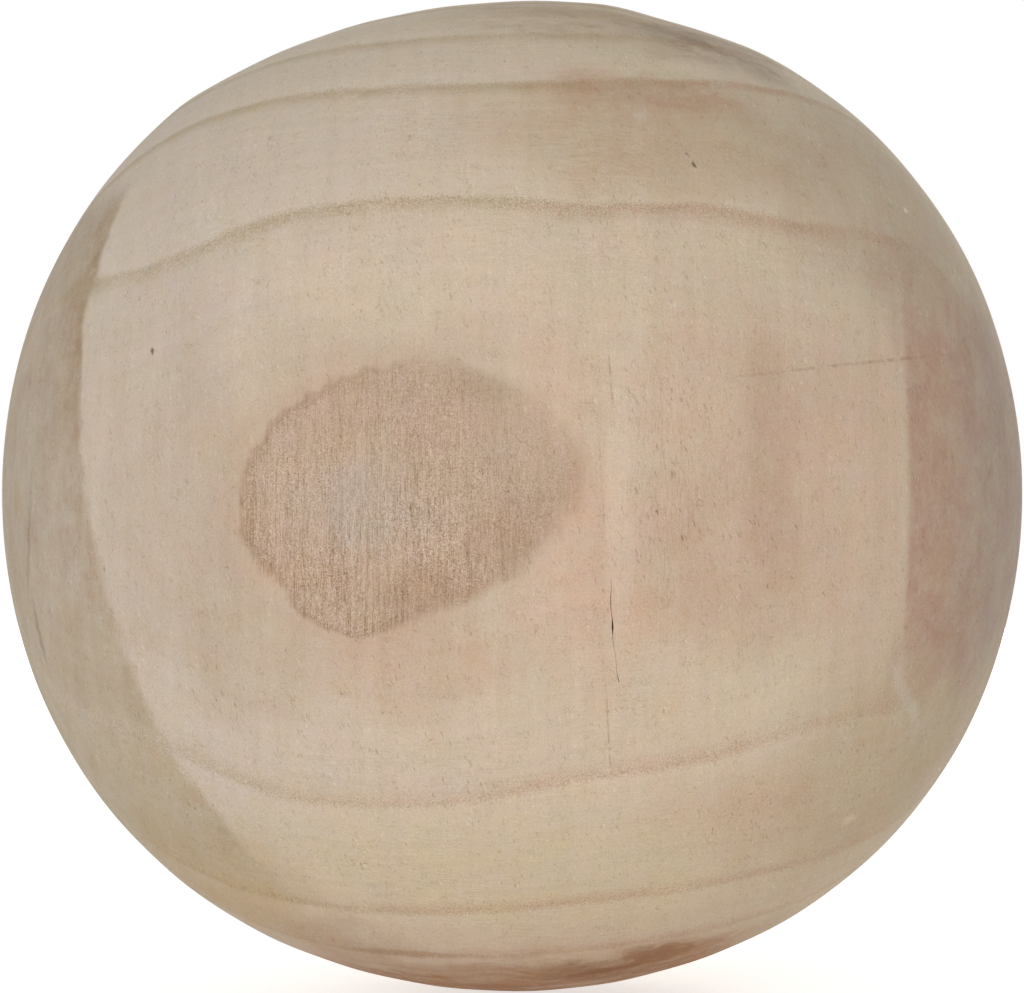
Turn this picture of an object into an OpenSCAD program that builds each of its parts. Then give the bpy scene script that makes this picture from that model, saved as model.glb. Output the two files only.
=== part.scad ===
// Turned wooden ball, sanded by hand.
//
// The ball is one piece of wood, turned between centres on the X axis, which is
// also the direction of the grain. Wood shrinks more across the grain than along
// it, so the ball is a little longer from pole to pole than it is round the belt,
// and its shoulders stand slightly full. Sanding left two shallow flats near the top.
//
// The origin is the centre of the turned form. X is the grain and Z is up.

/* [Turned form] */
// Length from pole to pole, along the grain
ball_length = 50.7; // [44:0.1:60]
// Diameter across the grain, at the belt
girth = 49.5; // [43:0.1:58]
// Radius of the rounding between each pole and the belt
shoulder_r = 23.3; // [20:0.1:24.2]

/* [Broad sanded flat] */
// Direction of the flat, counted from the +X pole up over the top
broad_turn = 98; // [60:0.5:120]
// Lean of the flat towards the front
broad_lean = 0; // [-30:1:30]
// Wood taken off at its middle
broad_depth = 0.4; // [0.1:0.05:1]
// Radius of the slight curve that is left in it
broad_r = 32; // [30:1:80]

/* [Small sanded flat] */
// Direction of the flat, counted from the +X pole up over the top
small_turn = 74; // [40:0.5:85]
// Lean of the flat towards the front
small_lean = 8; // [-30:1:30]
// Wood taken off at its middle
small_depth = 0.2; // [0.1:0.05:1]
// Radius of the slight curve that is left in it
small_r = 130; // [40:5:300]

/* [Hidden] */
$fn = 180;
half_length = ball_length / 2;
half_girth = girth / 2;

// A quarter of the profile is three arcs, each running smoothly into the next:
// over the pole, round the shoulder and along the belt. The pole arc is centred on
// the axis and the belt arc in the belt's plane. The arcs meet in two fixed
// directions, whose sine and cosine are whole thousandths (44, 117 and 125 are the
// sides of a right triangle), so each arc ends exactly where the next one starts.
cross = 44 / 125;
ahead = 117 / 125;
pole_way = [ahead, cross];
belt_way = [cross, ahead];

// How much larger the pole and belt radii are than the shoulder's, which follows
// from the length and the girth, to the nearest twentieth of a millimetre
function to_twentieth(size) = round(size * 20) / 20;
spare_length = half_length - shoulder_r;
spare_girth = half_girth - shoulder_r;
short = 1 - ahead;
share = cross * cross - short * short;
pole_more = to_twentieth((cross * spare_girth - short * spare_length) / share);
belt_more = to_twentieth((cross * spare_length - short * spare_girth) / share);

pole_r = shoulder_r + pole_more;
belt_r = shoulder_r + belt_more;
shoulder_centre = cross * [belt_more, pole_more];
pole_centre = [shoulder_centre.x - ahead * pole_more, 0];
belt_centre = [0, shoulder_centre.y - ahead * belt_more];

// Distance from the ball's centre out to the turned surface in a direction, given
// by its angle from the axis
function slope(point) = atan2(point.y, point.x);
function hit(centre, r, way) =
    way * centre + sqrt(pow(way * centre, 2) - centre * centre + r * r);
function reach(angle) =
    let (way = [cos(angle), sin(angle)])
    angle < slope(shoulder_centre + shoulder_r * pole_way) ? hit(pole_centre, pole_r, way) :
    angle < slope(shoulder_centre + shoulder_r * belt_way) ? hit(shoulder_centre, shoulder_r, way) :
    hit(belt_centre, belt_r, way);

// One arc's sector of the profile, from its centre out, between two directions
module sector(centre, r, from, to) {
    far = 200;
    translate(centre) intersection() {
        circle(r);
        polygon([[0, 0], far * from, far * to]);
    }
}

// A quarter of the profile: x runs along the axis, y out from it
module quarter() {
    intersection() {
        square([ball_length, girth]);
        union() {
            sector(pole_centre, pole_r, [1, 0], pole_way);
            sector(shoulder_centre, shoulder_r, pole_way, belt_way);
            sector(belt_centre, belt_r, belt_way, [0, 1]);
        }
    }
}

// The form as it left the lathe, turned about the X axis
module turned_form() {
    rotate([0, 90, 0]) rotate_extrude() {
        rotate(-90) quarter();
        rotate(90) mirror([0, 1]) quarter();
    }
}

// All the wood that a sanded flat leaves: a large sphere whose surface passes the
// stated depth below the turned surface, in the flat's direction
module sanded_to(turn, lean, depth, r) {
    off_axis = acos(abs(cos(turn) * cos(lean)));
    rotate([0, -turn, 0]) rotate([0, 0, -lean]) translate([reach(off_axis) - depth - r, 0, 0])
        sphere(r);
}

module ball() {
    color("burlywood") intersection() {
        turned_form();
        sanded_to(broad_turn, broad_lean, broad_depth, broad_r);
        sanded_to(small_turn, small_lean, small_depth, small_r);
    }
}

ball();
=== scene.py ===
import math
import bmesh
import bpy
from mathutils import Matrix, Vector, noise
from mathutils.bvhtree import BVHTree


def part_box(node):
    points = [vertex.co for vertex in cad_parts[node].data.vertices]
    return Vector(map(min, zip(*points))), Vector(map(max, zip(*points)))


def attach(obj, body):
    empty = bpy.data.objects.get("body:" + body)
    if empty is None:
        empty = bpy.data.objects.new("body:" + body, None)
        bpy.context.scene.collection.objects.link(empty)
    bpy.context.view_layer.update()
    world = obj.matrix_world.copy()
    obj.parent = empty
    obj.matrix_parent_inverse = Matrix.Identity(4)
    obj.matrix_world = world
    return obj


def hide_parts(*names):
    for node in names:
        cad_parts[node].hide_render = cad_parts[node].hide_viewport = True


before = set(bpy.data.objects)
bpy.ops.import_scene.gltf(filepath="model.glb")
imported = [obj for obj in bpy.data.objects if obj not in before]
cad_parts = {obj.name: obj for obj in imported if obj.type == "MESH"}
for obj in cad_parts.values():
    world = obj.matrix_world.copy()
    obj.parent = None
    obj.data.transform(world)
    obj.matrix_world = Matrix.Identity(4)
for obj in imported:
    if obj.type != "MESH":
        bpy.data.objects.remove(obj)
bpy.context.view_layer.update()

# ---------------------------------------------------------------- turned ball
# The ball is one piece of pale hardwood, turned between centres along its grain
# (X) and sanded by hand. Its form is the CAD node's: every point of a fine mesh
# goes out from the centre to that surface, and then takes the low waves that a
# hand-held gouge and sandpaper leave.
MM = 0.001
MESH_CUTS = 119
SMOOTHINGS = 6
low, high = (Vector(corner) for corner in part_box("ball"))
half_length = (high.x - low.x) / 2
cad_surface = BVHTree.FromObject(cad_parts["ball"], bpy.context.evaluated_depsgraph_get())

turned = bmesh.new()
bmesh.ops.create_cube(turned, size=2.0)
bmesh.ops.subdivide_edges(turned, edges=turned.edges[:], cuts=MESH_CUTS, use_grid_fill=True)
centre = Vector((0, 0, 0))
for point in turned.verts:
    way = Vector([math.tan(side * math.pi / 4) for side in point.co]).normalized()
    point.co = cad_surface.ray_cast(centre, way)[0]
for _ in range(SMOOTHINGS):
    bmesh.ops.smooth_vert(turned, verts=turned.verts[:], factor=0.5,
                          use_axis_x=True, use_axis_y=True, use_axis_z=True)

# Low waves: rings round the turning axis from the gouge, and sanding unevenness.
# They only ever take wood away.
GOUGE_STEP = 4.2 * MM
GOUGE_WAVE = 0.010 * MM
GOUGE_DRIFT = 1.5
DRIFT_REACH = 14 * MM
SANDING_REACH = 9 * MM
SANDING_WAVE = 0.05 * MM
turned.normal_update()
for point in turned.verts:
    drift = noise.noise(point.co / DRIFT_REACH) * GOUGE_DRIFT
    gouge = GOUGE_WAVE * math.sin(math.tau * point.co.x / GOUGE_STEP + drift)
    sanding = SANDING_WAVE * noise.noise(point.co / SANDING_REACH)
    point.co += point.normal * min(0.0, gouge + sanding - GOUGE_WAVE - SANDING_WAVE / 2)
bmesh.ops.recalc_face_normals(turned, faces=turned.faces[:])

ball_mesh = bpy.data.meshes.new("turned_ball")
turned.to_mesh(ball_mesh)
turned.free()
ball_mesh.shade_smooth()
ball = bpy.data.objects.new("turned_ball", ball_mesh)
bpy.context.scene.collection.objects.link(ball)

# The drying check is a hairline crack under 5 mm long, where the wood tore as it
# dried: widest in two short gapes and nearly closed between them. A thin wavy blade
# cuts it into the front.
CHECK_TOP = -3.8 * MM
CHECK_LENGTH = 4.7 * MM
CHECK_X = 4.40 * MM
CHECK_DRIFT = 0.4 * MM
CHECK_WANDER = 0.02 * MM
CHECK_WANDERS = 19
CHECK_CLOSED = 0.009 * MM
CHECK_DEPTH = 0.8 * MM
BLADE_CUTS = 40
BLADE_PROUD = 0.3 * MM
BLADE_TAPER = 0.3
GAPES = (
    # how far down the check, how long, and the half width in mm
    (0.21, 0.13, 0.012), (0.46, 0.06, 0.042), (0.97, 0.04, 0.020),
)

blade = bmesh.new()
bmesh.ops.create_cube(blade, size=1.0)
upright = [edge for edge in blade.edges if abs(edge.verts[0].co.z - edge.verts[1].co.z) > 0.5]
bmesh.ops.subdivide_edges(blade, edges=upright, cuts=BLADE_CUTS)
for point in blade.verts:
    side = 1 if point.co.x > 0 else -1
    outside = point.co.y < 0
    down = 0.5 - point.co.z
    z = CHECK_TOP - down * CHECK_LENGTH
    middle = CHECK_X + CHECK_DRIFT * down ** 2 + CHECK_WANDER * math.sin(CHECK_WANDERS * down)
    skin = cad_surface.ray_cast(Vector((middle, low.y * 2, z)), Vector((0, 1, 0)))[0].y
    gape = sum(wide * MM * math.exp(-((down - place) / long) ** 2) for place, long, wide in GAPES)
    half = (CHECK_CLOSED + gape) * (1.0 if outside else BLADE_TAPER)
    depth = CHECK_DEPTH * (0.3 + 0.7 * math.sin(math.pi * down))
    point.co = Vector((middle + side * half, skin - BLADE_PROUD if outside else skin + depth, z))
bmesh.ops.recalc_face_normals(blade, faces=blade.faces[:])
blade_mesh = bpy.data.meshes.new("check_blade")
blade.to_mesh(blade_mesh)
blade.free()
blade_object = bpy.data.objects.new("check_blade", blade_mesh)
bpy.context.scene.collection.objects.link(blade_object)

cut = ball.modifiers.new("drying_check", "BOOLEAN")
cut.operation = "DIFFERENCE"
cut.solver = "EXACT"
cut.object = blade_object
with bpy.context.temp_override(object=ball, active_object=ball):
    bpy.ops.object.modifier_apply(modifier=cut.name)
bpy.data.objects.remove(blade_object)
bpy.data.meshes.remove(blade_mesh)
SHARP_EDGE = math.radians(50)
ball.data.set_sharp_from_angle(angle=SHARP_EDGE)

# The finish is bare diffuse-porous hardwood, turned and sanded: pale cream, with a
# thin brown line where each year's growth ends, pink heart colour, and no gloss.


def linear(hex_colour):
    """An sRGB hex colour as the linear colour that shaders take."""
    channels = [int(hex_colour[i:i + 2], 16) / 255 for i in (1, 3, 5)]
    spread = [c / 12.92 if c <= 0.04045 else ((c + 0.055) / 1.055) ** 2.4 for c in channels]
    return (*spread, 1.0)


wood = bpy.data.materials.new("turned_sanded_hardwood")
wood.use_nodes = True
tree = wood.node_tree
tree.nodes.clear()


def add(kind, sockets, out=0, **settings):
    """Adds one shader node with its settings and links, and gives one of its outputs."""
    made = tree.nodes.new("ShaderNode" + kind)
    for name, value in settings.items():
        setattr(made, name, value)
    inputs = [socket for socket in made.inputs if socket.enabled]
    outputs = [socket for socket in made.outputs if socket.enabled]
    for key, value in sockets.items():
        socket = inputs[key] if isinstance(key, int) else made.inputs[key]
        if isinstance(value, bpy.types.NodeSocket):
            tree.links.new(value, socket)
        else:
            socket.default_value = value
    if isinstance(out, str):
        return made.outputs[out]
    return outputs[out] if outputs else made


def spot(places, middle, reach, lean=0):
    """How far out each place lies in an oval spot: 0 at its middle, 1 at its outline."""
    if lean:
        turn = (0, math.radians(lean), 0)
        oval = add("Mapping", {"Vector": places, "Location": middle, "Rotation": turn, "Scale": reach},
                   vector_type="TEXTURE")
    else:
        shrink = [1 / length for length in reach]
        shift = [-side * share for side, share in zip(middle, shrink)]
        oval = add("VectorMath", {0: places, 1: shrink, 2: shift}, operation="MULTIPLY_ADD")
    return add("VectorMath", {0: oval}, operation="LENGTH")


# Places in the wood, in millimetres from the ball's centre
mm = add("VectorMath", {0: add("TexCoord", {}, "Object"), "Scale": 1 / MM}, operation="SCALE")
x, y, z = add("SeparateXYZ", {0: mm}).node.outputs
HALFWAY = 25.0
along = add("Math", {0: x, 1: HALFWAY}, operation="DIVIDE")

# The same places pushed about a little, so that no stain has a drawn edge. PUSHES,
# WAVERS, FRAYS and CLOUDS are how many humps each noise has to the millimetre.
PUSHES = 0.22
PUSHED_BY = (5, 5, 5)
WAVERS = 0.35
NOISE_MIDDLE = 0.5
NOISE_MIDDLES = (NOISE_MIDDLE, NOISE_MIDDLE, NOISE_MIDDLE)
push = add("TexNoise", {"Vector": mm, "Scale": PUSHES, "Detail": 4.0, "Roughness": 0.62}, "Color")
push = add("VectorMath", {0: push, 1: NOISE_MIDDLES}, operation="SUBTRACT")
loose = add("VectorMath", {0: push, 1: PUSHED_BY, 2: mm}, operation="MULTIPLY_ADD")
patch_a, patch_b, patch_c = add("SeparateXYZ", {0: push}).node.outputs
waver = add("TexNoise", {"Vector": mm, "Scale": WAVERS, "Detail": 6.0, "Roughness": 0.66})
waver = add("Math", {0: waver, 1: NOISE_MIDDLE}, operation="SUBTRACT")

# Pushed about by less than half a millimetre, for marks with frayed edges
FRAYS = 1.6
FRAYED_BY = (0.4, 0.4, 0.4)
fray = add("TexNoise", {"Vector": mm, "Scale": FRAYS, "Detail": 3.0, "Roughness": 0.7}, "Color")
fray = add("VectorMath", {0: fray, 1: NOISE_MIDDLES}, operation="SUBTRACT")
frayed = add("VectorMath", {0: fray, 1: FRAYED_BY, 2: mm}, operation="MULTIPLY_ADD")
fray_a, fray_b, fray_c = add("SeparateXYZ", {0: fray}).node.outputs

# Clouds of colour that differ by a shade, from several millimetres down to pores
CLOUDS = 0.5
tint = add("TexNoise", {"Vector": mm, "Scale": CLOUDS, "Detail": 5.0, "Roughness": 0.76}, "Color")
tint = add("VectorMath", {0: tint, 1: NOISE_MIDDLES}, operation="SUBTRACT")
cloud = add("SeparateXYZ", {0: tint}, "X")
cloud = add("MapRange", {0: cloud, 1: -0.14, 2: 0.14, 3: 0.65, 4: 1.15})

# Streaks that run with the grain, which break up the painted shade along the top and the painted shade
# and warm reflection along the underside
STREAK = (14, 1.5, 1.5)
streak = add("Mapping", {"Vector": loose, "Scale": STREAK}, vector_type="TEXTURE")
streak = add("TexNoise", {"Vector": streak, "Scale": 1.0, "Detail": 5.0, "Roughness": 0.65})
streak = add("MapRange", {0: streak, 1: 0.34, 2: 0.66, 3: 0.3, 4: 1.2})

# Fine marks, each at its real size in mm (across x, y and z). Single fibres are only
# 0.02 mm wide, too fine to show, so they are drawn as bundles of four or five.
FIBRE = (1.3, 0.09, 0.09)       # bundles of wood fibres, which run along X
SCRATCH = (0.065, 1.2, 1.2)     # sandpaper and gouge scratches round the turning axis
GROOVE = (0.16, 4, 4)           # longer grooves beside the scratches
BAND = (0.9, 10, 10)            # the gouge's path round the axis, as paler and darker bands
GRIT = (0.075, 0.075, 0.075)    # pores and sanding grit
TORN = (0.075, 0.32, 0.42)      # short torn marks, which lean
VEIN = (0.26, 0.60, 0.55)       # lifted fibre ends, as thin curved lines
LEAN = math.radians(-22)
marks = {}
for name, size, detail in (
    ("fibre", FIBRE, 2.0), ("scratch", SCRATCH, 2.0), ("groove", GROOVE, 1.0),
    ("band", BAND, 3.0), ("grit", GRIT, 1.0),
):
    spread = add("Mapping", {"Vector": mm, "Scale": size}, vector_type="TEXTURE")
    mark = add("TexNoise", {"Vector": spread, "Scale": 1.0, "Detail": detail, "Roughness": 0.7})
    marks[name] = add("Math", {0: mark, 1: NOISE_MIDDLE}, operation="SUBTRACT")
marks["dash"] = add("MapRange", {0: marks["scratch"], 1: 0.05, 2: 0.17})
leaning = add("Mapping", {"Vector": frayed, "Rotation": (0, LEAN, 0), "Scale": TORN},
              vector_type="TEXTURE")
torn = add("TexVoronoi", {"Vector": leaning, "Scale": 1.0}, "Distance")
torn_kind = add("SeparateXYZ", {0: torn.node.outputs["Color"]}, "X")
torn = add("MapRange", {0: torn, 1: 0.15, 2: 0.50, 3: 1.0, 4: 0.0})
# The dark torn marks are the torn fibres' colour with painted shade in each tear-out; the pale ones are
# painted glints on raised fibre ends.
torn_colour_and_shade = add("MapRange", {0: torn_kind, 1: 0.84, 2: 1.0})
marks["torn"] = add("Math", {0: torn, 1: torn_colour_and_shade}, operation="MULTIPLY")
torn_glint = add("MapRange", {0: torn_kind, 1: 0.16, 2: 0.0})
marks["raised_glint"] = add("Math", {0: torn, 1: torn_glint}, operation="MULTIPLY")
veins = add("Mapping", {"Vector": mm, "Rotation": (0, LEAN / 2, 0), "Scale": VEIN},
            vector_type="TEXTURE")
veins = add("TexNoise", {
    "Vector": veins, "Scale": 1.0, "Detail": 2.0, "Roughness": 0.55, "Distortion": 0.6,
})
VEIN_LINE = 0.028
vein = add("Math", {0: veins, 1: NOISE_MIDDLE}, operation="SUBTRACT")
vein = add("Math", {0: vein}, operation="ABSOLUTE")
vein = add("MapRange", {0: vein, 1: VEIN_LINE, 2: 0.0})
vein_here = add("MapRange", {0: fray_a, 1: -0.02, 2: 0.12})
marks["vein"] = add("Math", {0: vein, 1: vein_here}, operation="MULTIPLY")

# Growth: how far the wood is from the tree's heart, which ran 36 mm in front of
# the ball's centre. The heart climbs and bends, and the rings flare to both ends.
HEART_AHEAD = 36.0
SHELLS = (
    # heart's height in mm: level, climb, bend      flare: climb, bend, twist
    ((0.8, 3.2, 0.0), (-7.3, -8.4, 0.0)),       # the knot's shadow
    ((-0.35, 2.71, 1.82), (0.18, 9.05, -2.6)),  # the first ring
    ((-0.4, 3.3, 4.1), (-1.0, 11.5, 4.0)),      # the rings behind it
)
ahead = add("Math", {0: y, 1: HEART_AHEAD}, operation="ADD")
FIGURE_ALONG = 0.05
FIGURE_ACROSS = 1.9
shells = []
for (level, climb, bend), (flare_climb, flare_bend, flare_twist) in SHELLS:
    heart = add("Math", {0: along, 1: bend, 2: climb}, operation="MULTIPLY_ADD")
    heart = add("Math", {0: along, 1: heart, 2: level}, operation="MULTIPLY_ADD")
    heart = add("Math", {0: z, 1: heart}, operation="SUBTRACT")
    heart = add("VectorMath", {0: add("CombineXYZ", {"Y": ahead, "Z": heart})}, operation="LENGTH")
    flare = add("Math", {0: along, 1: flare_twist, 2: flare_bend}, operation="MULTIPLY_ADD")
    flare = add("Math", {0: along, 1: flare, 2: flare_climb}, operation="MULTIPLY_ADD")
    flare = add("Math", {0: along, 1: flare}, operation="MULTIPLY")
    shells.append(add("Math", {0: heart, 1: flare}, operation="SUBTRACT"))
near = shells[1]
RIPPLES = (
    # length, crest and size in mm
    (25.0, -3.8, 0.89), (16.0, 6.7, 0.38), (10.5, -1.3, 0.18),
)
for length, crest, size in RIPPLES:
    wave = add("Math", {0: x, 1: math.tau / length, 2: -math.tau * crest / length},
               operation="MULTIPLY_ADD")
    wave = add("Math", {0: wave}, operation="COSINE")
    near = add("Math", {0: wave, 1: -size, 2: near}, operation="MULTIPLY_ADD")
farther = add("MapRange", {0: near, 1: 21.0, 2: 26.0}, interpolation_type="SMOOTHSTEP")
growth = add("Mix", {0: farther, 1: near, 2: shells[2]}, data_type="FLOAT")
growth = add("Math", {0: waver, 1: 0.7, 2: growth}, operation="MULTIPLY_ADD")
figure_place = add("CombineXYZ", {
    "X": add("Math", {0: x, 1: FIGURE_ALONG}, operation="MULTIPLY"),
    "Y": add("Math", {0: growth, 1: FIGURE_ACROSS}, operation="MULTIPLY"),
})
figure = add("TexNoise", {"Vector": figure_place, "Scale": 1.0, "Detail": 4.0, "Roughness": 0.6})
marks["figure"] = add("Math", {0: figure, 1: NOISE_MIDDLE}, operation="SUBTRACT")
growth = add("Math", {0: marks["grit"], 1: 0.5, 2: growth}, operation="MULTIPLY_ADD")

# Heart and weather stains, and painted shade and reflection at the top and underside: where each lies,
# how far it reaches, its colour and depth
CREAM_LEFT = "#CDBCAB"
CREAM_RIGHT = "#D3BEA6"
STAINS = [
    ((29, -2, 0), (13, 34, 34), "#B69D88", 0.6),           # darker wood all round the right end
    ((-6.5, -24, 0), (13, 14, 11.5), "#C4B098", 0.8),      # grey-brown halo round the knot's shadow
    ((-14.8, -20, -2), (4.5, 7, 9), "#B6A28C", 0.58),      # its greyer left side
    ((-17, -17, 1), (6, 10, 12), "#C8B5A3", 0.65),         # pale lilac, left
    ((-11.5, -20, -7.5), (5.5, 6, 4.5), "#BAA68F", 0.48),  # halo, low left
    ((1.8, -24, 4.2), (4, 4, 4.5), "#D2AB92", 0.35),       # pink, up right of the shadow
    ((-5, -22, 10), (9, 8, 3.6), "#DDC7AC", 0.3),          # paler cream over the shadow
    ((10.5, -22.5, 4), (7, 12, 7.2), "#CBAD97", 0.62),     # pink heart, right
    ((9.5, -22.5, -3.2), (7, 12, 6.3), "#C5A790", 0.75),   # pink heart, lower right
    ((11.5, -21.5, 2), (1.8, 5, 7), "#B48F78", 0.4),       # its darker edge
    ((11.5, -20.5, -9.4), (4, 6, 2.6), "#D6C4A9", 0.5),    # paler band under it
    ((16, -18, 0), (6, 10, 11), "#D0AF97", 0.6),           # paler pink out to the right end
    ((3.2, -24, -3.5), (4, 6, 7.5), "#D2AF98", 0.6),
    ((-1, -23.5, 7.4), (5, 5, 2), "#CBAC95", 0.15),        # pink over the shadow
    ((-4, -23, -7.5), (7, 7, 3.5), "#C7A88F", 0.55),       # pink under the shadow
    ((8, -17, 16.5), (13, 7, 5), "#C0A68A", 0.75),         # tan between two rings, top
    ((7, -14.7, 18.5), (9, 4, 1.7), "#B5876C", 0.5),       # its red edge
    ((10.5, -17, -15.3), (6, 6, 3.5), "#C9A990", 0.6),     # rough pink, low right
    ((0, -16, -17.5), (20, 9, 5.5), "#D0BFA1", 0.7),       # yellower cream, low
    ((-15, -10, -19), (9, 9, 6), "#BFA680", 0.75),         # olive, low left
    ((-8, -9.5, -21.3), (5, 5, 2.2), "#B4977B", 0.58),     # olive, under it
    ((17.5, -13, -13), (10, 10, 10), "#B89F7E", 0.55),     # olive grey, low right
    ((17, -12, 14), (10, 10, 10), "#B69C84", 0.5),         # grey, high right
    ((18.8, -14.5, 9.8), (3, 7, 5), "#B0907C", 0.4),       # browner wood by the right end
]
# Painted light, streaked along the grain: painted shade along the top and over its flat, and painted
# contact shade and warm floor reflection along the underside
STREAKED_SHADE_AND_REFLECTION = [
    ((4, -5, -25), (20, 10.3, 6.2), "#A87850", 0.9),     # red-brown underside: painted contact shade and warm reflection from the floor
    ((5, -8.5, -22.9), (6, 4, 1.4), "#93694A", 0.6),     # its darkest part: painted contact shade
    ((6, -8, 23.5), (14, 9, 3.5), "#A58C75", 0.6),       # brown-grey top: painted shade
    ((9.5, -8.3, 21.3), (6.5, 5, 2.3), "#92796A", 0.6),  # its darkest part: painted shade over the flat
]
colour = add("Mix", {
    0: add("MapRange", {0: x, 1: -15.0, 2: 5.0}),
    1: linear(CREAM_LEFT), 2: linear(CREAM_RIGHT),
}, data_type="RGBA")
for stains_and_shade, uneven in ((STAINS, cloud), (STREAKED_SHADE_AND_REFLECTION, streak)):
    for middle, reach, spot_colour, strength in stains_and_shade:
        away = spot(loose, middle, reach)
        share = add("MapRange", {0: away, 1: 1.0, 2: 0.35, 4: strength},
                    interpolation_type="SMOOTHSTEP")
        share = add("Math", {0: share, 1: uneven}, operation="MULTIPLY", use_clamp=True)
        colour = add("Mix", {0: share, 1: colour, 2: linear(spot_colour)}, data_type="RGBA")

# Ring lines: radius in mm and depth. Each darkens over its last millimetre and stops
# within half a millimetre, where the next spring's paler wood begins.
RINGS = [(20.0, 1.0), (27.95, 1.2), (32.6, 0.9), (38.2, 1.0), (43.6, 0.9), (49.0, 1.1),
         (54.2, 0.9), (59.6, 1.0)]
RING_LINE = 1.0
RING_STOP = 0.45
SPRING = 2.5
ring_line = 0.0
spring_wood = 0.0
for radius, depth in RINGS:
    start = add("MapRange", {0: growth, 1: radius - RING_LINE, 2: radius, 4: depth},
                interpolation_type="SMOOTHSTEP")
    stop = add("MapRange", {0: growth, 1: radius, 2: radius + RING_STOP},
               interpolation_type="SMOOTHSTEP")
    spring = add("MapRange", {0: growth, 1: radius + RING_STOP, 2: radius + SPRING, 3: 1.0, 4: 0.0})
    spring = add("Math", {0: spring, 1: stop}, operation="MULTIPLY")
    spring_wood = add("Math", {0: spring_wood, 1: spring}, operation="MAXIMUM")
    stop = add("Math", {0: 1.0, 1: stop}, operation="SUBTRACT")
    line = add("Math", {0: start, 1: stop}, operation="MULTIPLY")
    ring_line = add("Math", {0: ring_line, 1: line}, operation="MAXIMUM")
marks["spring"] = spring_wood
patchy = add("MapRange", {0: waver, 1: -0.2, 2: 0.15, 3: 0.20, 4: 0.42})
higher = add("MapRange", {0: z, 1: -14.0, 2: 12.0, 3: 0.7, 4: 1.15})
outward = add("MapRange", {0: x, 1: 9.0, 2: 20.0, 3: 1.0, 4: 0.3})
higher = add("Math", {0: higher, 1: outward}, operation="MULTIPLY")
ring_share = add("Math", {0: ring_line, 1: patchy}, operation="MULTIPLY")
ring_share = add("Math", {0: ring_share, 1: higher}, operation="MULTIPLY")
redder = add("Math", {0: fray_c, 1: 45.0, 2: x}, operation="MULTIPLY_ADD")
redder = add("Math", {0: z, 1: -0.4, 2: redder}, operation="MULTIPLY_ADD")
ring_colour = add("Mix", {
    0: add("MapRange", {0: redder, 1: -6.0, 2: 6.0}),
    1: linear("#A78F68"), 2: linear("#AE7A5E"),
}, data_type="RGBA")
colour = add("Mix", {0: ring_share, 1: colour, 2: ring_colour}, data_type="RGBA")

# Knot's shadow: the oval patch where the innermost ring just reaches the surface,
# with a thin darker rim inside its left edge and greyer wood in its middle
SHADOW_REACH = 12.65
shadow = add("Math", {0: SHADOW_REACH, 1: shells[0]}, operation="SUBTRACT")
lobe = spot(mm, (-7.4, -22.9, -5.2), (4.4, 6, 3.2))
lobe = add("MapRange", {0: lobe, 1: 1.0, 2: 0.0}, interpolation_type="SMOOTHSTEP")
shadow = add("Math", {0: lobe, 1: 0.75, 2: shadow}, operation="MULTIPLY_ADD")
shadow = add("Math", {0: fray_b, 1: 0.4, 2: shadow}, operation="MULTIPLY_ADD")
shadow = add("Math", {0: waver, 1: 1.0, 2: shadow}, operation="MULTIPLY_ADD")
shadow = add("Math", {0: marks["grit"], 1: 0.6, 2: shadow}, operation="MULTIPLY_ADD")
shadow_edge = add("Math", {0: z, 1: 0.5, 2: x}, operation="MULTIPLY_ADD")
shadow_edge = add("MapRange", {0: shadow_edge, 1: -9.0, 2: 0.0, 3: 0.15, 4: 0.6})
inside = add("MapRange", {0: shadow, 1: -0.1, 2: shadow_edge}, interpolation_type="SMOOTHSTEP")
fringe = add("MapRange", {0: shadow, 1: -1.3, 2: 0.2, 4: 0.35}, interpolation_type="SMOOTHSTEP")
fringe_left = add("MapRange", {0: x, 1: 0.0, 2: -6.0})
fringe = add("Math", {0: fringe, 1: fringe_left}, operation="MULTIPLY")
colour = add("Mix", {0: fringe, 1: colour, 2: linear("#C6A58F")}, data_type="RGBA")
colour = add("Mix", {
    0: add("Math", {0: inside, 1: 0.85}, operation="MULTIPLY"),
    1: colour, 2: linear("#BFA58F"),
}, data_type="RGBA")
rim = add("Math", {0: shadow, 1: 0.2}, operation="SUBTRACT")
rim = add("Math", {0: rim}, operation="ABSOLUTE")
rim = add("MapRange", {0: rim, 1: 0.2, 2: 0.0}, interpolation_type="SMOOTHSTEP")
rim_left = add("MapRange", {0: x, 1: -3.0, 2: -8.0, 3: 0.1, 4: 0.36})
rim = add("Math", {0: rim, 1: rim_left}, operation="MULTIPLY")
colour = add("Mix", {0: rim, 1: colour, 2: linear("#9C7B60")}, data_type="RGBA")
for middle, reach, spot_colour, strength in (
    ((-6.8, -24, -0.4), (4.2, 4, 3.2), "#BBAFA4", 0.44),  # grey middle
    ((1, -24, -2), (4, 4, 4), "#B09178", 0.45),           # brown right end
    ((-1, -24, 5), (3, 4, 1.6), "#A98B70", 0.35),         # brown top edge
    ((-3, -24, -4.6), (5, 4, 1.6), "#B08F74", 0.5),       # brown lower edge
):
    away = spot(loose, middle, reach)
    share = add("MapRange", {0: away, 1: 1.0, 2: 0.2, 4: strength}, interpolation_type="SMOOTHSTEP")
    share = add("Math", {0: share, 1: inside}, operation="MULTIPLY")
    colour = add("Mix", {0: share, 1: colour, 2: linear(spot_colour)}, data_type="RGBA")
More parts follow.
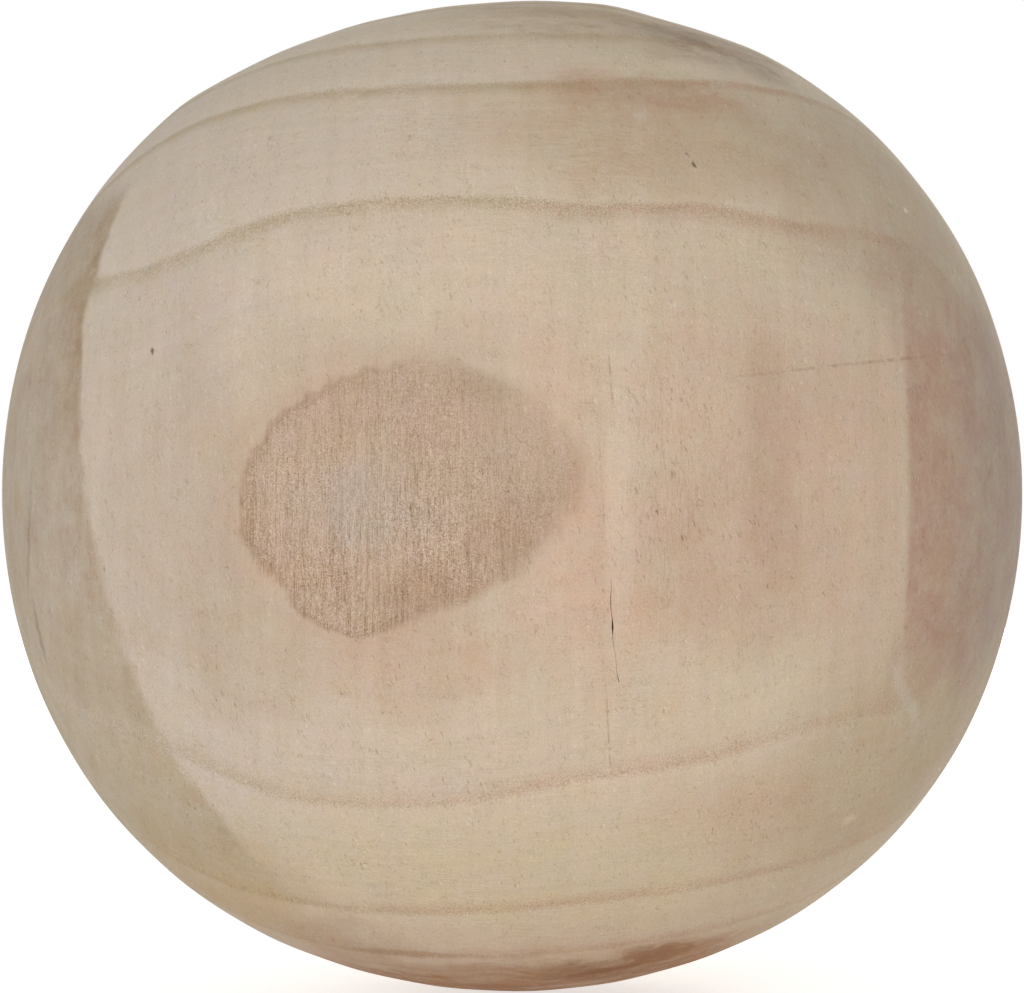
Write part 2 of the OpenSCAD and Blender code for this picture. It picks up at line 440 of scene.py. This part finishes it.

# Ends: the wood is darker towards both ends of the grain. The left darkening ends at a slanting line,
# the right one at a bowed line round the turning axis.
LEFT_WAY = (-0.674, 0.703, -0.227)
left_end = add("VectorMath", {0: mm, 1: LEFT_WAY}, "Value", operation="DOT_PRODUCT")
left_end = add("Math", {0: patch_c, 1: 2.0, 2: left_end}, operation="MULTIPLY_ADD")
left_full = add("MapRange", {0: z, 1: -2.0, 2: 4.0, 3: 2.9, 4: 2.4})
left_share = add("MapRange", {0: left_end, 1: 1.9, 2: left_full}, interpolation_type="SMOOTHSTEP")
left_most = add("MapRange", {0: z, 1: -2.0, 2: 4.0, 3: 0.78, 4: 0.85})
left_darkening = add("MapRange", {0: left_end, 1: 2.4, 2: 9.0, 3: left_most, 4: 0.66})
left_darkening = add("Math", {0: left_darkening, 1: cloud}, operation="MULTIPLY", use_clamp=True)
left_share = add("Math", {0: left_share, 1: left_darkening}, operation="MULTIPLY")
left_fade = add("MapRange", {0: y, 1: -4.0, 2: 10.0, 3: 1.0, 4: 0.0}, interpolation_type="SMOOTHSTEP")
left_share = add("Math", {0: left_share, 1: left_fade}, operation="MULTIPLY")
for gone, full in ((15.5, 13.0), (-20.0, -16.0)):
    left_fade = add("MapRange", {0: z, 1: gone, 2: full}, interpolation_type="SMOOTHSTEP")
    left_share = add("Math", {0: left_share, 1: left_fade}, operation="MULTIPLY")
left_edge = add("MapRange", {0: left_end, 1: 4.5, 2: 2.6})
left_edge = add("Math", {
    0: left_edge,
    1: add("MapRange", {0: z, 1: 0.0, 2: 8.0, 3: 0.15, 4: 1.0}),
}, operation="MULTIPLY")
left_low = add("MapRange", {0: z, 1: -3.0, 2: -12.0})
left_colour = add("Mix", {0: left_low, 1: linear("#AB9782"), 2: linear("#B4A285")}, data_type="RGBA")
left_colour = add("Mix", {0: left_edge, 1: left_colour, 2: linear("#A1886A")}, data_type="RGBA")
ring_shows = add("Math", {0: ring_line, 1: -0.6, 2: 1.0}, operation="MULTIPLY_ADD")
left_share = add("Math", {0: left_share, 1: ring_shows}, operation="MULTIPLY", use_clamp=True)
colour = add("Mix", {0: left_share, 1: colour, 2: left_colour}, data_type="RGBA")
RIGHT_BOW = 0.014
right_end = add("Math", {0: z, 1: z}, operation="MULTIPLY")
right_end = add("Math", {0: right_end, 1: RIGHT_BOW, 2: x}, operation="MULTIPLY_ADD")
right_share = add("MapRange", {0: right_end, 1: 18.0, 2: 18.6, 4: 0.85}, interpolation_type="SMOOTHSTEP")
right_zone = spot(loose, (22, -13, 0), (8, 16, 11.5))
right_zone = add("MapRange", {0: right_zone, 1: 1.0, 2: 0.6}, interpolation_type="SMOOTHSTEP")
right_share = add("Math", {0: right_share, 1: right_zone}, operation="MULTIPLY")
right_share = add("Math", {0: right_share, 1: cloud}, operation="MULTIPLY", use_clamp=True)
right_colour = add("Mix", {
    0: add("MapRange", {0: x, 1: 20.0, 2: 23.0}),
    1: linear("#B8937F"), 2: linear("#B19889"),
}, data_type="RGBA")
colour = add("Mix", {0: right_share, 1: colour, 2: right_colour}, data_type="RGBA")

# Single marks that wear and the lathe left: where each lies, its lean in degrees, how
# far it reaches, its colour and depth
SINGLE_MARKS = (
    ((4.9, -24, -1), 0, (1.0, 6, 9), "#DBC6B0", 0.35),             # pale band beside the check
    ((18.0, -16, 0.5), 0, (0.4, 12, 12), "#D6BFA8", 0.6),          # pale line by the right end
    ((-14.4, -19, 7.5), 0, (1.3, 7, 6), "#B8A291", 0.2),           # lilac band, left
    ((16.4, -17, 0), 0, (0.7, 8, 8), "#D2B8A0", 0.4),              # pale band, right
    ((18.4, -14.3, -9.5), -29, (0.45, 9, 2.7), "#CFC2B2", 0.4),    # pale scrape, low right
    ((-16.5, -18.1, 6.5), 0, (0.13, 1, 0.28), "#5E4C38", 0.85),    # pit
    ((8.35, -18.1, 15.1), -25, (0.12, 1, 0.26), "#5A4636", 0.85),  # pit
    ((8.05, -18.1, 15.6), -35, (0.1, 1, 0.2), "#6A5443", 0.8),     # pit
    ((6, -16.7, 17.4), 0, (0.6, 2, 0.4), "#D2C3B2", 0.4),          # pale spot
    ((21.6, -10, 1.6), 0, (0.6, 4, 1.4), "#C3B8AC", 0.6),          # pale spot by the right end
    ((18.7, -10.6, 13.5), 0, (0.2, 0.3, 0.2), "#E6DABC", 0.8),     # pale speck
    ((20.8, -5.8, -13.4), 0, (0.2, 0.3, 0.2), "#E4D7BE", 0.8),     # pale speck
    ((16, -12.2, -15.4), 60, (0.3, 1, 0.7), "#DECBAE", 0.5),       # pale speck
    ((-22.9, -8.5, -1), 4, (0.2, 4, 5), "#8D7A66", 0.6),           # thin dark line, left
    ((-22.6, -9.4, -6.7), -11, (0.16, 3, 2.6), "#8D7A66", 0.5),    # and its lower part
    ((2.9, -24.3, 0.8), 0, (0.8, 2, 2.4), "#B8957A", 0.35),
    ((-20.6, -11.4, 9.6), -20, (2.4, 3, 0.8), "#A08868", 0.5),     # brown smudge on the left end
    ((-5, -10.3, -21.9), 1, (5.5, 3, 0.25), "#9A7652", 0.4),       # brown line, underside
    ((-0.1, -10.4, -22.4), 0, (0.8, 2, 0.35), "#CFC0B0", 0.4),     # pale spot, underside
)
for middle, lean, reach, spot_colour, strength in SINGLE_MARKS:
    away = spot(frayed, middle, reach, lean)
    share = add("MapRange", {0: away, 1: 1.0, 2: 0.3, 4: strength}, interpolation_type="SMOOTHSTEP")
    colour = add("Mix", {0: share, 1: colour, 2: linear(spot_colour)}, data_type="RGBA")

BROKEN_LINES = (
    ((15.5, -18.2, 5.9), -7, (9, 10, 0.12), "#A3806C", 0.5),     # faint dotted line, right
    ((4.45, -23.9, 4.5), -4.3, (0.08, 2, 3.0), "#957A64", 0.5),  # the check's closed part, above
    ((4.0, -24.4, 0.3), -3.5, (0.08, 1, 2.4), "#957A64", 0.55),  # just over the check
    ((4.35, -22, -10.8), -3.6, (0.07, 4, 3.6), "#957A64", 0.4),  # below the check
    ((6.1, -23.8, 3.9), -30, (0.09, 1, 0.9), "#9C7F69", 0.35),   # lifted fibres right of it
    ((5.5, -23.8, 4.2), -30, (0.09, 1, 0.7), "#9C7F69", 0.3),
    ((7.1, -23.8, 1.3), -6, (0.12, 1, 1.9), "#9C7F69", 0.45),
    ((6.75, -23.8, 2.2), -3, (0.1, 1, 1.2), "#9C7F69", 0.4),
    ((6.4, -24, 0.3), 0, (0.09, 1, 1.4), "#9C7F69", 0.35),
    ((7.9, -23.6, -0.8), 0, (0.09, 1, 1.7), "#9C7F69", 0.35),
    ((9.6, -23.2, 0.6), -4, (0.09, 1, 2.0), "#9C7F69", 0.3),
)
broken = add("MapRange", {0: fray_b, 1: -0.08, 2: 0.08, 3: 0.1, 4: 1.0})
for middle, lean, reach, spot_colour, strength in BROKEN_LINES:
    away = spot(mm, middle, reach, lean)
    share = add("MapRange", {0: away, 1: 1.0, 2: 0.3, 4: strength}, interpolation_type="SMOOTHSTEP")
    share = add("Math", {0: share, 1: broken}, operation="MULTIPLY")
    colour = add("Mix", {0: share, 1: colour, 2: linear(spot_colour)}, data_type="RGBA")

# Where the marks are deep: scratches across the middle, fibres above and below it,
# and roughness in the knot's shadow and in the ring lines, where the grain tore
height = add("Math", {0: z}, operation="ABSOLUTE")
middle_share = add("MapRange", {0: height, 1: 6.0, 2: 13.0, 3: 1.0, 4: 0.0})
scratched = add("MapRange", {0: patch_a, 1: -0.05, 2: 0.12, 3: 0.05, 4: 0.30})
scratched = add("Math", {0: scratched, 1: middle_share}, operation="MULTIPLY")
shadow_left = add("MapRange", {0: x, 1: 3.0, 2: -4.0, 3: 0.34, 4: 1.45})
lower = add("MapRange", {0: z, 1: 6.0, 2: -3.0, 3: 0.5, 4: 1.05})
shadow_left = add("Math", {0: shadow_left, 1: lower}, operation="MULTIPLY")
scratched = add("Math", {0: inside, 1: shadow_left, 2: scratched}, operation="MULTIPLY_ADD")
fibrous = add("MapRange", {0: patch_b, 1: -0.08, 2: 0.10, 3: 0.10, 4: 0.45})
fibrous = add("Math", {0: middle_share, 1: -0.25, 2: fibrous}, operation="MULTIPLY_ADD")
fibrous = add("Math", {0: fibrous, 1: 0.08}, operation="MAXIMUM")
rough = add("Math", {0: ring_line, 1: higher}, operation="MULTIPLY")
rough = add("Math", {0: rough, 1: 0.9}, operation="MULTIPLY")
rough = add("Math", {0: rough, 1: inside}, operation="MAXIMUM")
gritty = add("MapRange", {0: rough, 3: 0.40, 4: 1.5})
torn_here = add("MapRange", {0: waver, 1: -0.12, 2: 0.10, 3: 0.55, 4: 1.1})
torn_here = add("Math", {0: torn_here, 1: lower}, operation="MULTIPLY")
torn_here = add("Mix", {0: inside, 1: 1.0, 2: torn_here}, data_type="FLOAT")
gritty = add("Math", {0: gritty, 1: torn_here}, operation="MULTIPLY")
ROUGH_WAY = (0, -1, -0.35)
facing = add("VectorMath", {0: mm, 1: ROUGH_WAY}, "Value", operation="DOT_PRODUCT")
facing = add("MapRange", {0: facing, 1: 8.0, 2: 19.0, 3: 0.45, 4: 1.0})
gritty = add("Math", {0: gritty, 1: facing}, operation="MULTIPLY")
torn_share = add("MapRange", {0: patch_c, 1: -0.05, 2: 0.12, 3: -0.05, 4: -0.36})
for middle, reach, deeper in (
    ((8.5, -23, 0), (6, 8, 9), 0.2),        # right of the knot's shadow
    ((6.8, -23, 1), (2.2, 8, 6), 0.35),
    ((-8, -20, -11), (10, 9, 5), 0.0),      # below the shadow
    ((-3, -17, -17), (14, 7, 3.5), 0.0),    # low, below the first ring
    ((10.5, -17, -15.3), (6, 6, 3), 0.15),  # low right
):
    away = spot(loose, middle, reach)
    share = add("MapRange", {0: away, 1: 1.0, 2: 0.4}, interpolation_type="SMOOTHSTEP")
    torn_share = add("Math", {0: share, 1: -0.16, 2: torn_share}, operation="MULTIPLY_ADD")
    scratched = add("Math", {0: share, 1: deeper, 2: scratched}, operation="MULTIPLY_ADD")
band_share = add("MapRange", {0: height, 1: 8.0, 2: 16.0, 3: 0.23, 4: 0.14})
band_more = add("MapRange", {0: left_share, 3: 1.0, 4: 1.8})
band_share = add("Math", {0: band_share, 1: band_more}, operation="MULTIPLY")
grooved = add("Math", {0: inside, 1: shadow_left}, operation="MULTIPLY")
grooved = add("Math", {0: grooved, 1: 0.3}, operation="MULTIPLY")
dashed = add("Math", {0: scratched, 1: -0.42}, operation="MULTIPLY")
torn_share = add("Math", {0: torn_share, 1: facing}, operation="MULTIPLY")
shade = 0.0
for name, depth in (
    ("fibre", fibrous), ("scratch", scratched), ("groove", grooved), ("dash", dashed),
    ("grit", gritty), ("torn", torn_share), ("raised_glint", 0.27), ("vein", -0.24),
    ("band", band_share), ("figure", 0.14), ("spring", 0.03),
):
    shade = add("Math", {0: marks[name], 1: depth, 2: shade}, operation="MULTIPLY_ADD")

# A mark darkens the wood's blue more than its red, as shadow in a pale fibre does
DARKENS = (0.85, 1.0, 1.25)
TINTS = (0.17, 0.04, 0.28)
shade = add("VectorMath", {0: shade, 1: DARKENS, 2: (1, 1, 1)}, operation="MULTIPLY_ADD")
shade = add("VectorMath", {0: tint, 1: TINTS, 2: shade}, operation="MULTIPLY_ADD")
colour = add("VectorMath", {0: colour, 1: shade}, operation="MULTIPLY")

# Relief too fine for the mesh: torn marks, scratches and pores, at most 0.015 mm deep
RELIEF = 0.015 * MM
relief = add("Math", {0: marks["raised_glint"], 1: marks["torn"]}, operation="SUBTRACT")
relief = add("Math", {0: marks["scratch"], 1: 0.6, 2: relief}, operation="MULTIPLY_ADD")
relief = add("Math", {0: marks["grit"], 1: 0.6, 2: relief}, operation="MULTIPLY_ADD")
skin = add("Bump", {"Strength": 1.0, "Distance": RELIEF, "Height": relief})

# Bare sanded wood is dull: a little smoother along some fibres than between them
SMOOTHEST = 0.68
ROUGHEST = 0.84
WOOD_IOR = 1.45
WOOD_GLOSS = 0.2
add("OutputMaterial", {"Surface": add("BsdfPrincipled", {
    "Base Color": colour,
    "Roughness": add("MapRange", {0: marks["fibre"], 1: -0.2, 2: 0.2, 3: SMOOTHEST, 4: ROUGHEST}),
    "IOR": WOOD_IOR,
    "Specular IOR Level": WOOD_GLOSS,
    "Normal": skin,
})})

ball.data.materials.clear()
ball.data.materials.append(wood)
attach(ball, "root")
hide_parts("ball")

# --------------------------------------------------------- floor, light, camera
# A plain pale floor under the ball, in a white room whose light comes evenly from
# all round, with one large soft lamp in front and a weaker one behind.
FLOOR_SIZE = 4.0
bpy.ops.mesh.primitive_plane_add(size=FLOOR_SIZE, location=(0, 0, low.z))
floor = bpy.context.object
floor.name = "floor"
floor_material = bpy.data.materials.new("pale_floor")
floor_material.use_nodes = True
tree = floor_material.node_tree
tree.nodes.clear()
FLOOR_FILL = 0.25
FLOOR_SEEN = 0.62

def seen_directly():
    """1 where a ray shows the room itself: straight to the eye, in gloss, or through glass."""
    rays = add("LightPath", {})
    seen = add("Math", {0: rays.node.outputs["Is Camera Ray"], 1: rays.node.outputs["Is Glossy Ray"]},
               operation="MAXIMUM")
    return add("Math", {0: seen, 1: rays.node.outputs["Is Transmission Ray"]}, operation="MAXIMUM")


glow = add("MapRange", {0: seen_directly(), 3: FLOOR_FILL, 4: FLOOR_SEEN})
matt = add("BsdfDiffuse", {"Color": linear("#E6E6E6")})
shine = add("Emission", {"Color": linear("#FFFFFF"), "Strength": glow})
add("OutputMaterial", {"Surface": add("AddShader", {0: matt, 1: shine})})
floor.data.materials.append(floor_material)

ROOM_LIGHT = 0.54
ROOM_COLOUR = "#F3FFFF"
world = bpy.data.worlds.new("white_room")
world.use_nodes = True
tree = world.node_tree
tree.nodes.clear()
room = add("Background", {"Color": linear(ROOM_COLOUR), "Strength": ROOM_LIGHT})
white = add("Background", {"Color": linear("#FFFFFF"), "Strength": 1.0})
add("OutputWorld", {"Surface": add("MixShader", {0: seen_directly(), 1: room, 2: white})})
bpy.context.scene.world = world

LAMP_COLOUR = "#FFF1F0"
for name, place, size, strength in (
    ("front_lamp", (-0.17, -0.60, 0.03), 0.35, 0.60),
    ("back_lamp", (0.10, 0.60, 0.10), 0.35, 0.30),
):
    lamp = bpy.data.lights.new(name, "AREA")
    lamp.shape = "SQUARE"
    lamp.size = size
    lamp.color = linear(LAMP_COLOUR)[:3]
    away = Vector(place)
    lamp.energy = strength * math.pi ** 2 * away.length_squared
    lamp_object = bpy.data.objects.new(name, lamp)
    lamp_object.location = away
    lamp_object.rotation_euler = (-away).to_track_quat("-Z", "Y").to_euler()
    lamp_object.visible_camera = False
    bpy.context.scene.collection.objects.link(lamp_object)

# A long lens close to eye level with the ball's middle, filled by the ball's length
SENSOR = 36.0
CAMERA_AWAY = 0.225
FILL = 511 / 512
camera = bpy.data.cameras.new("camera")
camera.sensor_width = SENSOR
camera.lens = SENSOR / 2 * FILL / math.tan(math.asin(half_length / CAMERA_AWAY))
camera_object = bpy.data.objects.new("camera", camera)
camera_object.location = (0, -CAMERA_AWAY, (low.z + high.z) / 2)
camera_object.rotation_euler = (math.radians(90), 0, 0)
bpy.context.scene.collection.objects.link(camera_object)
bpy.context.scene.camera = camera_object
bpy.context.scene.view_settings.view_transform = "Standard"
